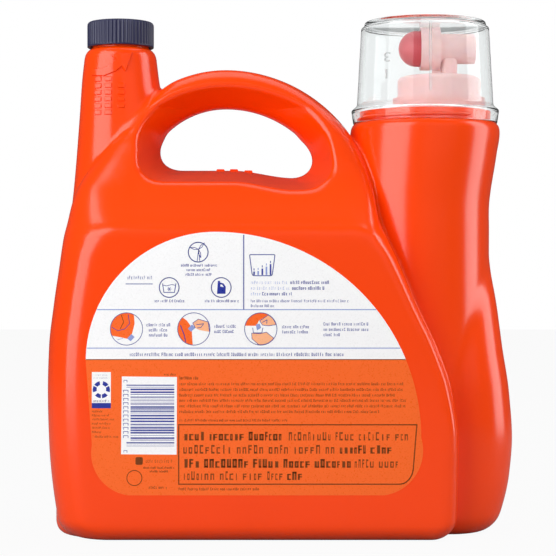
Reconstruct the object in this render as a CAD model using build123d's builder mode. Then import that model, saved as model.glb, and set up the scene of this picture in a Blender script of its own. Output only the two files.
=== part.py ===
from build123d import *
import os

os.makedirs("parts", exist_ok=True)

# A large laundry detergent jug with a vent cap, a press tap and a dosing cup.
# The frame: +X towards the tap, -Y towards the back label, +Z up, origin at the middle of the base.

# Driving dimensions, in millimetres
wall = 1.2
panel_half_depth = 62.0
handle_radial = 12.4
handle_depth = 18.5
arch_left = (-92, 222)
arch_crown = (-34, 265.7)
arch_right = (41, 206.1)
arch_left_radius = 60
arch_right_radius = 77
beyond = 100.0

vent_x = -97.9
vent_neck_radius = 17.0
vent_bore_radius = 14.2
vent_shoulder_z = 286.0
vent_neck_top = 302.4
vent_cap_bottom = 289.9
vent_cap_band_top = 292.6
vent_cap_top = 305.2
vent_cap_radius = 20.05
vent_cap_bore = 18.2
vent_cap_rim = 1.2
vent_cap_ribs = 60
rib_gap = 0.9
rib_depth = 0.5
liner_thickness = 1.1
liner_radius = 17.8

ring_x = 86.2
ring_radius = 39.55
ring_bottom = 238.0
ring_top = 251.4
ring_wall = 2.2
thread_z = 246.6
thread_height = 2.4
thread_reach = 1.9
thread_turn = 320

tap_x = 94.7
tap_neck_radius = 21.0
tap_neck_bore = 18.2
tap_neck_top = 267.4
closure_radius = 25.05
closure_flange_radius = 27.8
closure_bottom = 251.6
closure_flange_top = 259.0
closure_top = 272.0
closure_edge = 3.0
closure_bore = 21.4
gasket_thickness = 1.4

barrel_z = 289.1
barrel_radius = 9.05
flange_left = 90.4
flange_right = 94.9
flange_radius = 13.4
spout_end = 116.2
stem_x = 100.6
stem_width = 9.4
stem_depth = 13.0
stem_corner = 3.0
stem_bore = 3.2
stem_bore_x = 99.6
web_thickness = 4.0
guide_left = 92.0
guide_right = 94.2
chamber_radius = 7.2
seat_left = 104.6
seat_right = 106.4
seat_radius = 4.6
outlet_radius = 7.6
rod_radius = 2.0
rod_hole_radius = 2.1
rod_start = 73.5
head_radius = 6.4
head_thickness = 2.0
seal_thickness = 1.5
seal_inner_radius = 3.0

retainer_left = 83.2
retainer_lip = 1.6
retainer_radius = 12.9
retainer_bore = 12.1
button_tip = 70.3
button_radius = 10.7
button_wall = 1.6
button_rim_radius = 11.7
button_rim_left = 85.1
button_rim_right = 86.3
button_boss_radius = 3.6
button_boss_length = 12.0
button_opening = 11.05

cup_bottom = 243.9
cup_top = 305.0
cup_rib_length = 44.0
cup_rib_width = 1.4
cup_rib_top = 301.6
cup_rib_y = -39.6
cup_rib_depth = 3.0

label_thickness = 0.15

# Level sections of the bottle's three lobes: height, left edge, right edge, half depth, corner radius
body_lobe = [
    (0, -125, 96, 55, 30),
    (14, -131.5, 102, 62.5, 33),
    (60, -136.4, 103, 66, 36),
    (90, -137, 99, 66, 36),
    (135, -133.5, 83, 65.5, 34),
    (172, -128.8, 64, 63.5, 29),
    (196, -126.3, 53, 51, 26),
    (226, -116, 46, 24, 18),
]
vent_lobe = [
    (120, -134, -60, 56, 30),
    (165, -129.2, -66, 53, 28),
    (205, -125.4, -70, 43, 26),
    (250, -122.3, -73, 30, 24),
    (vent_shoulder_z, -119.4, -76.4, 21.5, 21.4),
]
tap_lobe = [
    (0, 40, 123, 38, 30),
    (14, 42, 130.5, 43, 34),
    (56, 44, 137, 45, 38),
    (100, 44, 132.8, 45, 40),
    (150, 42, 126.4, 44.5, 41),
    (190, 40, 124.2, 44.5, 41.5),
    (225, 40.5, 129, 45, 43),
    (243.4, 42, 130.4, 44.2, 44.1),
]

# Half section of the dosing cup: radius, height
cup_section = [
    (0, 304.7),
    (34.8, 304.7),
    (35.0, cup_top),
    (36.4, cup_top),
    (36.9, 302.4),
    (38.6, 301.6),
    (41.1, 254.2),
    (44.6, 252.6),
    (43.4, cup_bottom),
    (41.9, cup_bottom),
    (43.0, 251.7),
    (39.95, 252.3),
    (39.4, 253.6),
    (37.0, 300.4),
    (35.6, 303.3),
    (0, 303.3),
]

# The handle's arch as seen from the back: it ends where it runs into the two columns.
handle_bounds = [(-71, 300), (-71, 232), (18, 224), (40.5, 246), (40.5, 300)]

# The inside of the bottle has the outside's shape, drawn in by the wall.
envelopes = []
for inset in (0, wall):
    with BuildPart() as envelope:
        for lobe in (body_lobe, vent_lobe, tap_lobe):
            for height, left, right, half_depth, corner in lobe:
                level = min(max(height, inset), lobe[-1][0] - inset)
                with BuildSketch(Plane.XY.offset(level)):
                    with Locations(((left + right) / 2, 0)):
                        RectangleRounded(
                            right - left - 2 * inset, 2 * (half_depth - inset), corner - inset
                        )
            loft()
        # The arched handle runs from the vent lobe over to the tap lobe.
        with BuildLine(Plane.XZ) as arch:
            RadiusArc(arch_left, arch_crown, arch_left_radius)
            RadiusArc(arch_crown, arch_right, arch_right_radius)
        with BuildSketch(Plane(origin=arch.line @ 0, x_dir=(0, 1, 0), z_dir=arch.line % 0)):
            Ellipse(handle_depth - inset, handle_radial - inset)
        sweep(path=arch.line)
        # Flat label panels close the lobes off, front and back.
        with Locations((0, 0, vent_neck_top / 2)):
            Box(4 * beyond, 2 * (panel_half_depth - inset), 4 * beyond, mode=Mode.INTERSECT)
        # The see-through hole under the handle
        with BuildSketch(Plane.XZ):
            with BuildLine():
                RadiusArc((-73.2, 230), (-34, 253.4), 48)
                RadiusArc((-34, 253.4), (18.6, 225), 64)
                RadiusArc((18.6, 225), (7, 212.4), 10.5)
                Line((7, 212.4), (-30, 217))
                Line((-30, 217), (-60, 216.5))
                RadiusArc((-60, 216.5), (-73.2, 230), 14)
            make_face()
            offset(amount=inset)
        extrude(amount=beyond, both=True, mode=Mode.SUBTRACT)
    envelopes.append(envelope.part)

# The whole moulding: the outside and its necks, less the inside and the bores
with BuildPart() as moulding:
    add(envelopes[0])
    with BuildSketch(Plane.XY.offset(vent_shoulder_z - wall)):
        with Locations((vent_x, 0)):
            Circle(vent_neck_radius)
    extrude(amount=vent_neck_top - vent_shoulder_z + wall)
    with BuildSketch(Plane.XY.offset(ring_bottom)):
        with Locations((ring_x, 0)):
            Circle(ring_radius)
    extrude(amount=ring_top - ring_bottom)
    with BuildSketch(Plane.XY.offset(ring_top - ring_wall)):
        with Locations((tap_x, 0)):
            Circle(tap_neck_radius)
    extrude(amount=tap_neck_top - ring_top + ring_wall)
    # The thread's rib round the ring
    with BuildSketch(Plane.XZ):
        with BuildLine():
            Polyline(
                (ring_x + ring_radius - thread_reach, thread_z - thread_height),
                (ring_x + ring_radius + thread_reach, thread_z - thread_height / 4),
                (ring_x + ring_radius + thread_reach, thread_z + thread_height / 4),
                (ring_x + ring_radius - thread_reach, thread_z + thread_height),
                close=True,
            )
        make_face()
    revolve(axis=Axis((ring_x, 0, 0), (0, 0, 1)), revolution_arc=thread_turn)
    add(envelopes[1], mode=Mode.SUBTRACT)
    with BuildSketch(Plane.XY.offset(ring_bottom)):
        with Locations((ring_x, 0)):
            Circle(ring_radius - ring_wall)
    extrude(amount=ring_top - ring_wall - ring_bottom, mode=Mode.SUBTRACT)
    with BuildSketch(Plane.XY.offset(ring_bottom)):
        with Locations((tap_x, 0)):
            Circle(tap_neck_bore)
    extrude(amount=tap_neck_top - ring_bottom, mode=Mode.SUBTRACT)
    with BuildSketch(Plane.XY.offset(vent_shoulder_z - 3 * wall)):
        with Locations((vent_x, 0)):
            Circle(vent_bore_radius)
    extrude(amount=vent_neck_top - vent_shoulder_z + 3 * wall, mode=Mode.SUBTRACT)

# The arch of the handle is a node of its own, so that the collision can stay open under it.
with BuildPart() as bottle_handle:
    add(moulding.part)
    with BuildSketch(Plane.XZ):
        with BuildLine():
            Polyline(*handle_bounds, close=True)
        make_face()
    extrude(amount=beyond, both=True, mode=Mode.INTERSECT)
bottle_handle.part.label = "bottle_handle"
export_step(bottle_handle.part, "parts/bottle_handle.step")

with BuildPart() as bottle:
    add(moulding.part)
    with BuildSketch(Plane.XZ):
        with BuildLine():
            Polyline(*handle_bounds, close=True)
        make_face()
    extrude(amount=beyond, both=True, mode=Mode.SUBTRACT)
bottle.part.label = "bottle"
export_step(bottle.part, "parts/bottle.step")

# Vent cap: a skirt with ribs above a plain band, open at the bottom
vent_cap_ceiling = vent_neck_top + liner_thickness
with BuildPart() as vent_cap:
    with BuildSketch(Plane.XY.offset(vent_cap_bottom)):
        with Locations((vent_x, 0)):
            Circle(vent_cap_radius)
    extrude(amount=vent_cap_top - vent_cap_bottom)
    fillet(vent_cap.faces().sort_by(Axis.Z)[-1].edges(), vent_cap_rim)
    with BuildSketch(Plane.XY.offset(vent_cap_band_top)):
        with Locations((vent_x, 0)):
            with PolarLocations(vent_cap_radius, vent_cap_ribs):
                Rectangle(2 * rib_depth, rib_gap)
    extrude(amount=vent_cap_top - vent_cap_band_top, mode=Mode.SUBTRACT)
    with BuildSketch(Plane.XY.offset(vent_cap_bottom)):
        with Locations((vent_x, 0)):
            Circle(vent_cap_bore)
    extrude(amount=vent_cap_ceiling - vent_cap_bottom, mode=Mode.SUBTRACT)
vent_cap.part.label = "vent_cap"
export_step(vent_cap.part, "parts/vent_cap.step")

with BuildPart() as vent_cap_liner:
    with BuildSketch(Plane.XY.offset(vent_neck_top)):
        with Locations((vent_x, 0)):
            Circle(liner_radius)
    extrude(amount=liner_thickness)
vent_cap_liner.part.label = "vent_cap_liner"
export_step(vent_cap_liner.part, "parts/vent_cap_liner.step")

# Tap body: base cap, stem, web, flange and barrel in one moulding
closure_ceiling = tap_neck_top + gasket_thickness
barrel_start = Plane(origin=(flange_right, 0, barrel_z), z_dir=(1, 0, 0))
with BuildPart() as tap_body:
    with BuildSketch(Plane.XY.offset(closure_bottom)):
        with Locations((tap_x, 0)):
            Circle(closure_radius)
    extrude(amount=closure_top - closure_bottom)
    fillet(tap_body.faces().sort_by(Axis.Z)[-1].edges(), closure_edge)
    with BuildSketch(Plane.XY.offset(closure_bottom)):
        with Locations((tap_x, 0)):
            Circle(closure_flange_radius)
    extrude(amount=closure_flange_top - closure_bottom)
    with BuildSketch(Plane.XY.offset(closure_top - closure_edge)):
        with Locations((stem_x, 0)):
            RectangleRounded(stem_width, stem_depth, stem_corner)
    extrude(amount=barrel_z - closure_top + closure_edge)
    with BuildSketch(Plane.XZ):
        with BuildLine():
            Polyline(
                (flange_left, closure_top - closure_edge),
                (stem_x, closure_top - closure_edge),
                (stem_x, barrel_z),
                (flange_left, barrel_z),
                close=True,
            )
        make_face()
    extrude(amount=web_thickness / 2, both=True)
    with BuildSketch(barrel_start):
        Circle(flange_radius)
    extrude(amount=flange_left - flange_right)
    with BuildSketch(barrel_start):
        Circle(barrel_radius)
    extrude(amount=spout_end - flange_right)
    # Hollows: neck socket, button pocket, rod guide, chamber, seat, outlet and the rise in the stem
    with BuildSketch(Plane.XY.offset(closure_bottom)):
        with Locations((tap_x, 0)):
            Circle(closure_bore)
    extrude(amount=closure_ceiling - closure_bottom, mode=Mode.SUBTRACT)
    for start, end, radius in (
        (flange_left, guide_left, retainer_bore),
        (guide_left, guide_right, rod_hole_radius),
        (guide_right, seat_left, chamber_radius),
        (seat_left, seat_right, seat_radius),
        (seat_right, spout_end, outlet_radius),
    ):
        with BuildSketch(Plane(origin=(start, 0, barrel_z), z_dir=(1, 0, 0))):
            Circle(radius)
        extrude(amount=end - start, mode=Mode.SUBTRACT)
    with BuildSketch(Plane.XY.offset(closure_ceiling)):
        with Locations((stem_bore_x, 0)):
            Circle(stem_bore)
    extrude(amount=barrel_z - closure_ceiling, mode=Mode.SUBTRACT)
tap_body.part.label = "tap_body"
export_step(tap_body.part, "parts/tap_body.step")

with BuildPart() as tap_neck_gasket:
    with BuildSketch(Plane.XY.offset(tap_neck_top)):
        with Locations((tap_x, 0)):
            Circle(tap_neck_radius)
            Circle(tap_neck_bore, mode=Mode.SUBTRACT)
    extrude(amount=gasket_thickness)
tap_neck_gasket.part.label = "tap_neck_gasket"
export_step(tap_neck_gasket.part, "parts/tap_neck_gasket.step")

# Pieces turned about the barrel's axis: each outline is half a section, in the plane of the barrel.
barrel_axis = Axis((0, 0, barrel_z), (1, 0, 0))

with BuildPart() as button_retainer:
    with BuildSketch(Plane.XZ):
        with BuildLine():
            Polyline(
                (retainer_left, barrel_z + button_opening),
                (retainer_left, barrel_z + retainer_radius),
                (flange_left, barrel_z + retainer_radius),
                (flange_left, barrel_z + retainer_bore),
                (retainer_left + retainer_lip, barrel_z + retainer_bore),
                (retainer_left + retainer_lip, barrel_z + button_opening),
                close=True,
            )
        make_face()
    revolve(axis=barrel_axis)
button_retainer.part.label = "button_retainer"
export_step(button_retainer.part, "parts/button_retainer.step")

# Press button: a hollow dome with a rim behind the retainer's lip and a boss for the rod
nose_centre = button_tip + button_radius
with BuildPart() as press_button:
    for inset, mode in ((0, Mode.ADD), (button_wall, Mode.SUBTRACT)):
        radius = button_radius - inset
        with BuildSketch(Plane.XZ):
            with BuildLine():
                nose = CenterArc((nose_centre, barrel_z), radius, 90, 90)
                Polyline(
                    nose @ 0,
                    (button_rim_right, barrel_z + radius),
                    (button_rim_right, barrel_z),
                    nose @ 1,
                )
            make_face()
        revolve(axis=barrel_axis, mode=mode)
    with BuildSketch(Plane(origin=(button_rim_left, 0, barrel_z), z_dir=(1, 0, 0))):
        Circle(button_rim_radius)
        Circle(button_radius - button_wall, mode=Mode.SUBTRACT)
    extrude(amount=button_rim_right - button_rim_left)
    with BuildSketch(Plane(origin=(button_tip + button_wall / 2, 0, barrel_z), z_dir=(1, 0, 0))):
        Circle(button_boss_radius)
    extrude(amount=button_boss_length)
    with BuildSketch(Plane(origin=(rod_start, 0, barrel_z), z_dir=(1, 0, 0))):
        Circle(rod_radius)
    extrude(amount=button_boss_length, mode=Mode.SUBTRACT)
press_button.part.label = "press_button"
export_step(press_button.part, "parts/press_button.step")

head_left = seat_right + seal_thickness
with BuildPart() as valve_plunger:
    with BuildSketch(Plane(origin=(rod_start, 0, barrel_z), z_dir=(1, 0, 0))):
        Circle(rod_radius)
    extrude(amount=head_left - rod_start)
    with BuildSketch(Plane(origin=(head_left, 0, barrel_z), z_dir=(1, 0, 0))):
        Circle(head_radius)
    extrude(amount=head_thickness)
valve_plunger.part.label = "valve_plunger"
export_step(valve_plunger.part, "parts/valve_plunger.step")

with BuildPart() as valve_seal:
    with BuildSketch(Plane(origin=(seat_right, 0, barrel_z), z_dir=(1, 0, 0))):
        Circle(head_radius)
        Circle(seal_inner_radius, mode=Mode.SUBTRACT)
    extrude(amount=seal_thickness)
valve_seal.part.label = "valve_seal"
export_step(valve_seal.part, "parts/valve_seal.step")

# Dosing cup, upside down: foot ring at the top, flared wall, and a wider skirt round the ring
with BuildPart() as dosing_cup:
    with BuildSketch(Plane.XZ):
        with BuildLine():
            Polyline(*[(ring_x + radius, height) for radius, height in cup_section], close=True)
        make_face()
    revolve(axis=Axis((ring_x, 0, 0), (0, 0, 1)))
    # One raised bar down the outside of the wall marks the fill heights.
    with BuildSketch(Plane.XY.offset(cup_rib_top - cup_rib_length)):
        with Locations((ring_x, cup_rib_y)):
            Rectangle(cup_rib_width, cup_rib_depth)
    extrude(amount=cup_rib_length)
dosing_cup.part.label = "dosing_cup"
export_step(dosing_cup.part, "parts/dosing_cup.step")

# Labels: thin films on the two flat panels, mirrored outlines
for name, side in (("back_label", -1), ("front_label", 1)):
    with BuildPart() as label:
        with BuildSketch(Plane((0, side * panel_half_depth, 0), x_dir=(1, 0, 0), z_dir=(0, -1, 0))):
            with BuildLine():
                ThreePointArc((-112.1, 103.4), (-90.5, 155.6), (-38.3, 177.2))
                ThreePointArc((-38.3, 177.2), (44.5, 142.9), (78.8, 60.1))
                ThreePointArc((78.8, 60.1), (74.5, 37), (58, 27.2))
                Line((58, 27.2), (-88, 27.2))
                ThreePointArc((-88, 27.2), (-103.2, 35.5), (-108.6, 56))
                Line((-108.6, 56), (-112.1, 103.4))
            make_face()
        extrude(amount=-side * label_thickness)
    label.part.label = name
    export_step(label.part, f"parts/{name}.step")
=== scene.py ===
"""Looks of a laundry detergent jug: bottle, vent cap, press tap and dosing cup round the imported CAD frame."""

import logging
import math
import random
from collections.abc import Callable, Sequence
from dataclasses import dataclass, field
from enum import Enum

import bmesh
import bpy
import numpy as np
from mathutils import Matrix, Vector
from mathutils.geometry import delaunay_2d_cdt, tessellate_polygon

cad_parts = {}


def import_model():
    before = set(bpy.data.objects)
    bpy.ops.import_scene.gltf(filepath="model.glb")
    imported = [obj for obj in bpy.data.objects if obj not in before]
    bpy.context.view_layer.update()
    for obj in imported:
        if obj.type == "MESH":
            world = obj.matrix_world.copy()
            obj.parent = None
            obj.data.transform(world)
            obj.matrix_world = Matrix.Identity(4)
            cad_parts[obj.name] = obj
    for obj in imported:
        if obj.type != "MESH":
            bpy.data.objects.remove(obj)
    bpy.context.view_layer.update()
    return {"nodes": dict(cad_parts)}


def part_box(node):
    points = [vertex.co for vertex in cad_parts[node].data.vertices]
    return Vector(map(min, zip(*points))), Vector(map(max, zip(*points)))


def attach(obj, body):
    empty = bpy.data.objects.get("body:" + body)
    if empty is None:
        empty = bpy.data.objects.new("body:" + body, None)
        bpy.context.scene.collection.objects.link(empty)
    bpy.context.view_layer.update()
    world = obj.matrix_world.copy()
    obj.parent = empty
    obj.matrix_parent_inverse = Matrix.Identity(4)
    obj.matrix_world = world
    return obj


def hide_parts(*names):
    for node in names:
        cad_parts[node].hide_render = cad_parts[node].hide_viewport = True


MM = 0.001
log = logging.getLogger("jug")

Socket = bpy.types.NodeSocket
Point = tuple[float, float]


# --------------------------------------------------------------------------- finishes


def linear(code: str) -> tuple[float, float, float, float]:
    """Turns an sRGB hex colour into Blender's linear colour.

    Args:
        code: six hex digits, with or without a leading hash.

    Returns:
        Linear red, green and blue, and an alpha of 1.
    """
    parts = [int(code.lstrip("#")[i : i + 2], 16) / 255 for i in (0, 2, 4)]
    red, green, blue = (c / 12.92 if c <= 0.04045 else ((c + 0.055) / 1.055) ** 2.4 for c in parts)
    return red, green, blue, 1.0


def add_node(
    tree: bpy.types.NodeTree, kind: str, inputs: dict[str | int, object] | None = None, **settings: object
) -> bpy.types.Node:
    """Adds a shader node with its settings, values and links.

    Args:
        tree: the node tree that takes the node.
        kind: Blender's name for the node, without the word ShaderNode.
        inputs: value for each input, or the output socket that feeds it.
        settings: the node's own properties.

    Returns:
        The new node.
    """
    node = tree.nodes.new(f"ShaderNode{kind}")
    for key, value in settings.items():
        setattr(node, key, value)
    for key, value in (inputs or {}).items():
        if isinstance(value, bpy.types.NodeSocket):
            tree.links.new(value, node.inputs[key])
        else:
            node.inputs[key].default_value = value
    return node


def noise(tree: bpy.types.NodeTree, place: Socket, size_mm: float, detail: float = 1.0) -> Socket:
    """Adds noise with features of a size in millimetres, and returns its socket."""
    made = add_node(tree, "TexNoise", {"Vector": place, "Scale": 1 / (size_mm * MM), "Detail": detail})
    return made.outputs["Fac"]


def ramp(tree: bpy.types.NodeTree, value: Socket, middle: float, spread: float) -> Socket:
    """Maps a noise value to a band of width spread about middle, and returns its socket."""
    band = {"From Min": 0.3, "From Max": 0.7, "To Min": middle - spread / 2, "To Max": middle + spread / 2}
    return add_node(tree, "MapRange", {"Value": value, **band}).outputs["Result"]


def bump(tree: bpy.types.NodeTree, height: Socket, depth_mm: float, strength: float = 1.0) -> Socket:
    """Turns a height into a bumped surface direction, and returns its socket."""
    made = add_node(tree, "Bump", {"Height": height, "Distance": depth_mm * MM, "Strength": strength})
    return made.outputs["Normal"]


@dataclass(frozen=True)
class MouldedPlastic:
    """An opaque moulded plastic or elastomer, with its tool's texture and a slow drift of tone."""

    name: str
    colour: str
    roughness: float
    ior: float = 1.5
    texture_mm: float = 1.2
    texture_depth_mm: float = 0.006
    drift_mm: float = 45.0
    drift: float = 0.05
    subsurface: float = 0.0
    subsurface_mm: float = 2.0
    seam: bool = False

    def material(self) -> bpy.types.Material:
        """Builds the node material and returns it."""
        made = bpy.data.materials.new(self.name)
        made.use_nodes = True
        tree = made.node_tree
        shader = tree.nodes["Principled BSDF"]
        place = add_node(tree, "TexCoord").outputs["Object"]
        grain = noise(tree, place, self.texture_mm, 2.0)
        tone = ramp(tree, noise(tree, place, self.drift_mm), 1.0, self.drift)
        tint = add_node(tree, "HueSaturation", {"Color": linear(self.colour), "Value": tone})
        height = self._with_seam(tree, place, grain) if self.seam else grain
        normal = bump(tree, height, self.texture_depth_mm)
        tree.links.new(tint.outputs["Color"], shader.inputs["Base Color"])
        tree.links.new(ramp(tree, grain, self.roughness, 0.25 * self.roughness), shader.inputs["Roughness"])
        tree.links.new(normal, shader.inputs["Normal"])
        shader.inputs["IOR"].default_value = self.ior
        if self.subsurface:
            shader.inputs["Subsurface Weight"].default_value = self.subsurface
            shader.inputs["Subsurface Scale"].default_value = self.subsurface_mm * MM
        return made

    @staticmethod
    def _with_seam(tree: bpy.types.NodeTree, place: Socket, height: Socket) -> Socket:
        """Adds the mould's parting line, a fine ridge along the middle plane, to a bump height."""
        split = add_node(tree, "SeparateXYZ", {"Vector": place})
        off = add_node(tree, "Math", {0: split.outputs["Y"]}, operation="ABSOLUTE")
        ramp_ends = {"From Min": 0.1 * MM, "From Max": 0.45 * MM, "To Min": 12.0, "To Max": 0.0}
        ridge = add_node(tree, "MapRange", {"Value": off.outputs["Value"], **ramp_ends})
        both = {0: ridge.outputs["Result"], 1: height}
        return add_node(tree, "Math", both, operation="ADD").outputs["Value"]


@dataclass(frozen=True)
class ClearPlastic:
    """A clear injection-moulded plastic, polished, with faint flow ripples."""

    name: str
    colour: str = "F7F9F9"
    roughness: float = 0.02
    ior: float = 1.49
    specular: float = 0.15
    sheen: float = 0.35
    ripple_mm: float = 9.0
    ripple_depth_mm: float = 0.02
    ripple_strength: float = 0.6

    def material(self) -> bpy.types.Material:
        """Builds the node material and returns it."""
        made = bpy.data.materials.new(self.name)
        made.use_nodes = True
        tree = made.node_tree
        shader = tree.nodes["Principled BSDF"]
        place = add_node(tree, "TexCoord").outputs["Object"]
        normal = bump(tree, noise(tree, place, self.ripple_mm), self.ripple_depth_mm, self.ripple_strength)
        tree.links.new(normal, shader.inputs["Normal"])
        shader.inputs["Base Color"].default_value = linear(self.colour)
        shader.inputs["Roughness"].default_value = self.roughness
        shader.inputs["IOR"].default_value = self.ior
        shader.inputs["Transmission Weight"].default_value = 1.0
        shader.inputs["Specular IOR Level"].default_value = self.specular
        shader.inputs["Specular Tint"].default_value = (self.sheen, self.sheen, self.sheen, 1)
        return made


@dataclass(frozen=True)
class PrintedInk:
    """A flat ink under a gloss film varnish, with a fine screen mottle."""

    name: str
    colour: str
    roughness: float = 0.3
    roughness_spread: float = 0.06
    ior: float = 1.49
    mottle_mm: float = 0.8
    mottle_depth_mm: float = 0.002
    mottle: float = 0.04

    def material(self) -> bpy.types.Material:
        """Builds the node material and returns it."""
        made = bpy.data.materials.new(self.name)
        made.use_nodes = True
        tree = made.node_tree
        shader = tree.nodes["Principled BSDF"]
        screen = noise(tree, add_node(tree, "TexCoord").outputs["Object"], self.mottle_mm)
        tone = ramp(tree, screen, 1.0 - self.mottle / 2, self.mottle)
        tint = add_node(tree, "HueSaturation", {"Color": linear(self.colour), "Value": tone})
        rough = ramp(tree, screen, self.roughness, self.roughness_spread)
        tree.links.new(tint.outputs["Color"], shader.inputs["Base Color"])
        tree.links.new(rough, shader.inputs["Roughness"])
        tree.links.new(bump(tree, screen, self.mottle_depth_mm), shader.inputs["Normal"])
        shader.inputs["IOR"].default_value = self.ior
        return made


# Blow-moulded polyethylene: an even, waxy gloss that spreads a lamp's reflection into a soft band
BOTTLE_ORANGE = MouldedPlastic(
    "blown_polyethylene_orange", "FF4500", 0.2, 1.54, 1.6, 0.004, drift_mm=60.0, drift=0.03, seam=True
)
# Polypropylene from a spark-eroded tool: a satin sheen along every rib
CAP_NAVY = MouldedPlastic("moulded_polypropylene_navy", "2A2B4A", 0.34, 1.49, 0.5, 0.006)
LINER_WHITE = MouldedPlastic("foamed_polyethylene", "E8E8E4", 0.7, 1.5, 0.4, 0.02)
# Thin-walled polypropylene, so light spreads a little inside the pale pink
TAP_PINK = MouldedPlastic("moulded_polypropylene_pink", "F0CBC9", 0.36, 1.49, 0.6, 0.004, subsurface=0.15)
# Soft thermoplastic elastomer: broad dull highlight on the dome
BUTTON_RED = MouldedPlastic("moulded_elastomer_red", "CC4A54", 0.42, 1.5, 0.5, 0.006, subsurface=0.1)
SEAL_GREY = MouldedPlastic("moulded_seal_elastomer", "C4C4C2", 0.6, 1.5, 0.5, 0.008)
PLUNGER_WHITE = MouldedPlastic("moulded_acetal_white", "EEEEEA", 0.3, 1.48, 0.6, 0.003)
CUP_CLEAR = ClearPlastic("moulded_clear_polypropylene")
CUP_FROSTED = ClearPlastic("frosted_clear_polypropylene", "E4E6E6", 0.35)

INK_WHITE = PrintedInk("ink_white", "FDFDFE")
INK_ORANGE = PrintedInk("ink_orange", "FF6A22")
INK_PEACH = PrintedInk("ink_peach", "FFB98C")
INK_BLUE = PrintedInk("ink_blue", "26349A")
INK_PALE_BLUE = PrintedInk("ink_pale_blue", "8FA0D8")
INK_BROWN = PrintedInk("ink_brown", "7A3A05")


# --------------------------------------------------------------------------- meshes


def add_mesh(
    name: str,
    points: np.ndarray | Sequence[Sequence[float]],
    faces: Sequence[Sequence[int]],
    finishes: Sequence[bpy.types.Material],
    smooth: bool = True,
    face_finish: Sequence[int] | None = None,
) -> bpy.types.Object:
    """Makes a mesh object from points in millimetres.

    Args:
        name: the piece's name.
        points: corner places in the row frame, in millimetres.
        faces: corner numbers of each face.
        finishes: the piece's materials.
        smooth: whether the faces are shaded smooth.
        face_finish: number of the material on each face.

    Returns:
        The new object, at the origin.
    """
    mesh = bpy.data.meshes.new(name)
    mesh.from_pydata((np.asarray(points, float) * MM).tolist(), [], [tuple(f) for f in faces])
    for finish in finishes:
        mesh.materials.append(finish)
    if face_finish is not None:
        mesh.polygons.foreach_set("material_index", np.asarray(face_finish, np.int32))
    mesh.polygons.foreach_set("use_smooth", [smooth] * len(mesh.polygons))
    mesh.validate()
    mesh.update()
    piece = bpy.data.objects.new(name, mesh)
    bpy.context.scene.collection.objects.link(piece)
    return piece


def crease(piece: bpy.types.Object, degrees: float = 35.0) -> None:
    """Shades a piece smooth apart from its edges sharper than an angle in degrees."""
    mesh = piece.data
    mesh.polygons.foreach_set("use_smooth", [True] * len(mesh.polygons))
    mesh.set_sharp_from_angle(angle=math.radians(degrees))


def rounded(outline: Sequence[tuple[float, float, float]], steps: int = 5) -> list[Point]:
    """Rounds the corners of a closed outline.

    Args:
        outline: corner places and the length that each corner's curve takes from its sides.
        steps: pieces in each corner's curve.

    Returns:
        Points of the outline with a smooth curve at each rounded corner.
    """
    made: list[Point] = []
    count = len(outline)
    for i, (a, b, reach) in enumerate(outline):
        here = np.array([a, b])
        before = np.array(outline[i - 1][:2]) - here
        after = np.array(outline[(i + 1) % count][:2]) - here
        near = min(reach, 0.49 * np.linalg.norm(before), 0.49 * np.linalg.norm(after))
        if near <= 0:
            made.append((a, b))
            continue
        start = here + before / np.linalg.norm(before) * near
        end = here + after / np.linalg.norm(after) * near
        for t in np.linspace(0, 1, steps + 1):
            made.append(tuple(start * (1 - t) ** 2 + here * 2 * t * (1 - t) + end * t**2))
    return made


@dataclass
class Turned:
    """A piece turned upright from a closed half section: distance from the axis, height, corner rounding."""

    section: Sequence[tuple[float, float, float]]
    centre: tuple[float, float, float]
    sides: int = 96

    def rings(self) -> tuple[np.ndarray, np.ndarray]:
        """Returns the points of the turned surface and its four-sided faces."""
        profile = np.array(rounded(self.section))
        angles = np.linspace(0, 2 * math.pi, self.sides, endpoint=False)
        radius, along = profile[:, :1], profile[:, 1:]
        a = radius * np.cos(angles)
        b = radius * np.sin(angles)
        c = np.broadcast_to(along, a.shape)
        points = np.stack((a, b, c), axis=-1).reshape(-1, 3) + np.array(self.centre)
        rows, sides = len(profile), self.sides
        i, j = np.meshgrid(np.arange(rows), np.arange(sides), indexing="ij")
        k, m = (i + 1) % rows, (j + 1) % sides
        faces = np.stack([i * sides + j, i * sides + m, k * sides + m, k * sides + j], axis=-1).reshape(-1, 4)
        return points, faces

    def build(self, name: str, finish: bpy.types.Material) -> bpy.types.Object:
        """Makes the turned piece with one finish and returns it."""
        points, faces = self.rings()
        piece = add_mesh(name, points, faces.tolist(), [finish])
        weld(piece)
        crease(piece)
        return piece


def weld(piece: bpy.types.Object) -> None:
    """Joins the points of a piece that share a place and drops faces with no area."""
    work = bmesh.new()
    work.from_mesh(piece.data)
    bmesh.ops.remove_doubles(work, verts=work.verts, dist=0.002 * MM)
    bmesh.ops.dissolve_degenerate(work, edges=work.edges, dist=0.001 * MM)
    bmesh.ops.recalc_face_normals(work, faces=work.faces)
    work.to_mesh(piece.data)
    work.free()


# --------------------------------------------------------------------------- bottle


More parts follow.
